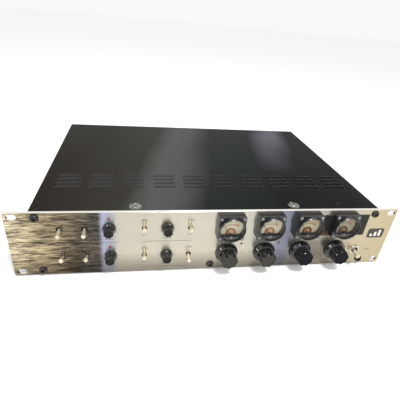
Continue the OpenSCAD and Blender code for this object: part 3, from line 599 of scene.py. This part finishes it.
# Scales from 0 to 10 round the knobs, and plain bars where the panel's labels are
art = Sheet()
for x, z in TRIMS:
    art.slot = 0
    art.arc(x, z, 8.7, 0.32, SCALE_TURNS[0], SCALE_TURNS[-1], 60)
    for turn in SCALE_TURNS:
        art.spoke(x, z, 9.0, 10.3, 0.3, turn)
    art.slot = 1
    for i, turn in enumerate(SCALE_TURNS):
        art.number(i, x, z, 12.4, turn, 2.5)
for x in METER_X:
    art.slot = 0
    for i, turn in enumerate(SCALE_TURNS):
        art.spoke(x, ROW_LOW, 15.4, 17.4, 0.42, turn)
        if turn < SCALE_TURNS[-1]:
            art.spoke(x, ROW_LOW, 15.4, 16.4, 0.3, turn + 15)
        art.number(i, x, ROW_LOW, 19.9, turn, 3.0)
art.slot = 1
for x, z in TOGGLES:
    art.bar(x, z + 10.6, 8.6, 0.75)
    art.bar(x, z + 12.4, 5.4, 0.6)
    art.bar(x, z - 9.6, 6.0, 0.65)
for x, z in TRIMS:
    art.bar(x, z - 14.6, 11.0, 0.75)
for x in METER_X:
    art.bar(x, -40.8, 12.5, 0.9)
art.bar(217.0, -19.6, 9.0, 0.8)
art.bar(217.0, -22.0, 6.0, 0.7)
art.slot = 0
for x0, x1, z in ((-92.5, -31.7, 2.0), (-165.0, -120.0, 2.0), (-91.5, -30.5, -37.6), (-165.0, -145.0, -37.6)):
    art.bar((x0 + x1) / 2, z, x1 - x0, 0.4)
art.build("panel_print", PRINT_Y, [INK, SOFT_INK])

# A generic badge: a dark rounded plate with three rising bars, which stand a little proud of it
badge = Sheet()
(cx, cz), r = BADGE_AT, BADGE_CORNER
half_w, half_h = BADGE_SIZE[0] / 2 - r, BADGE_SIZE[1] / 2 - r
outline = []
for sx, sz, first in ((1, 1, 0), (-1, 1, 90), (-1, -1, 180), (1, -1, 270)):
    for i in range(7):
        a = math.radians(first + 15 * i)
        outline.append((cx + sx * half_w + r * math.cos(a), cz + sz * half_h + r * math.sin(a)))
badge.polygon(outline)
badge.slot = 1
for i, tall in enumerate((4.0, 7.0, 10.0)):
    badge.bar(cx - 6.0 + 6.0 * i, cz - 5.0 + tall / 2, 3.4, tall)
badge_print = badge.build("badge_print", PRINT_Y, [INK, ink("badge_bar", (0.55, 0.52, 0.45))])
for face in badge_print.data.polygons:
    if face.material_index == 1:
        for i in face.vertices:
            badge_print.data.vertices[i].co.y -= 0.00003

# Meter scales: a black arc with ticks, a red end, and numbers above it
for k, x in enumerate(METER_X):
    scale = Sheet()
    z = METER_Z - NEEDLE_DROP
    scale.arc(x, z, 13.3, 0.5, -42, 42, 30)
    for i in range(9):
        scale.spoke(x, z, 13.4, 15.2 if i % 2 == 0 else 14.5, 0.3, -40 + 10 * i)
    for i, value in enumerate((20, 10, 5, 3, 0)):
        scale.number(value, x, z, 17.2, -36 + 16.5 * i, 2.3)
    scale.slot = 1
    scale.arc(x, z, 15.0, 1.2, 16, 41, 12)
    scale.number(3, x, z, 17.4, 35.52, 2.3)
    scale.build("meter_scale_%d" % (k + 1), DIAL_PRINT_Y, [DIAL_INK, DIAL_RED])


# Pointer lines moulded into the knobs' skirts
def pointer(name, x, z, turn, body, path, width):
    """A narrow raised line that follows the knob's profile; path lists (radius, y) points from the face outwards."""
    a = math.radians(turn)
    out = Vector((math.sin(a), 0, math.cos(a)))
    side = Vector((math.cos(a), 0, -math.sin(a)))
    points, faces = [], []
    for radius, y in path:
        centre = Vector((x, y, z)) + out * radius
        for half in (-0.5, 0.5):
            points.append((centre + side * width * half) / 1000)
    for i in range(len(path) - 1):
        faces.append((2 * i, 2 * i + 1, 2 * i + 3, 2 * i + 2))
    mesh = bpy.data.meshes.new(name)
    mesh.from_pydata(points, [], faces)
    mesh.materials.append(WHITE_INK)
    made = add(name, mesh)
    solid = made.modifiers.new("thick", "SOLIDIFY")
    solid.thickness = 0.00006
    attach(made, body)


for k in range(4):
    base = FRONT - 0.8
    pointer("level_pointer_%d" % (k + 1), METER_X[k], ROW_LOW, LEVEL_TURN[k], "level_control_%d" % (k + 1),
            [(12.35, base - 5.12), (14.3, base - 2.02)], 0.7)
    base = FRONT - 0.7
    pointer("trim_pointer_%d" % (k + 1), *TRIMS[k], TRIM_TURN[k], "trim_control_%d" % (k + 1),
            [(6.62, base - 2.80), (7.5, base - 1.06)], 0.5)

# ---------------------------------------------------------------- floor, light and camera
floor_half = 6.0
floor_mesh = bpy.data.meshes.new("floor")
floor_mesh.from_pydata([(i * floor_half, j * floor_half, cad_low.z) for i, j in ((-1, -1), (1, -1), (1, 1), (-1, 1))],
                       [], [(0, 1, 2, 3)])
floor_finish = Shader("floor")
floor_finish.set(color=(0.96, 0.96, 0.96, 1), rough=0.9, spec=0.2)
floor_mesh.materials.append(floor_finish.material)
add("floor", floor_mesh)

scene = bpy.context.scene
world = bpy.data.worlds.new("studio")
world.use_nodes = True
sky = world.node_tree.nodes["Background"].inputs
sky["Color"].default_value = (1.0, 0.995, 0.985, 1)
sky["Strength"].default_value = 0.95
scene.world = world
scene.view_settings.view_transform = "Standard"


def area(name, place, target, size, power):
    """A square soft light at place, turned towards target."""
    light = bpy.data.lights.new(name, "AREA")
    light.size = size
    light.energy = power
    made = add(name, light)
    made.location = place
    made.rotation_mode = "QUATERNION"
    made.rotation_quaternion = (Vector(target) - Vector(place)).to_track_quat("-Z", "Y")


area("key", (0.20, -0.62, 1.20), (0.02, 0, 0), 0.30, 15)
area("window", (-1.1, -0.9, 0.8), (-0.1, 0, 0), 0.30, 7)

lens = bpy.data.cameras.new("camera")
lens.sensor_width = SENSOR
lens.lens = CAMERA_LENS
lens.clip_start = 0.01
camera = add("camera", lens)
forward = Vector(CAMERA_FORWARD).normalized()
right = forward.cross(Vector(CAMERA_UP)).normalized()
turn = Matrix((right, right.cross(forward), -forward)).transposed().to_4x4()
camera.matrix_world = Matrix.Translation(CAMERA_AT) @ turn
scene.camera = camera
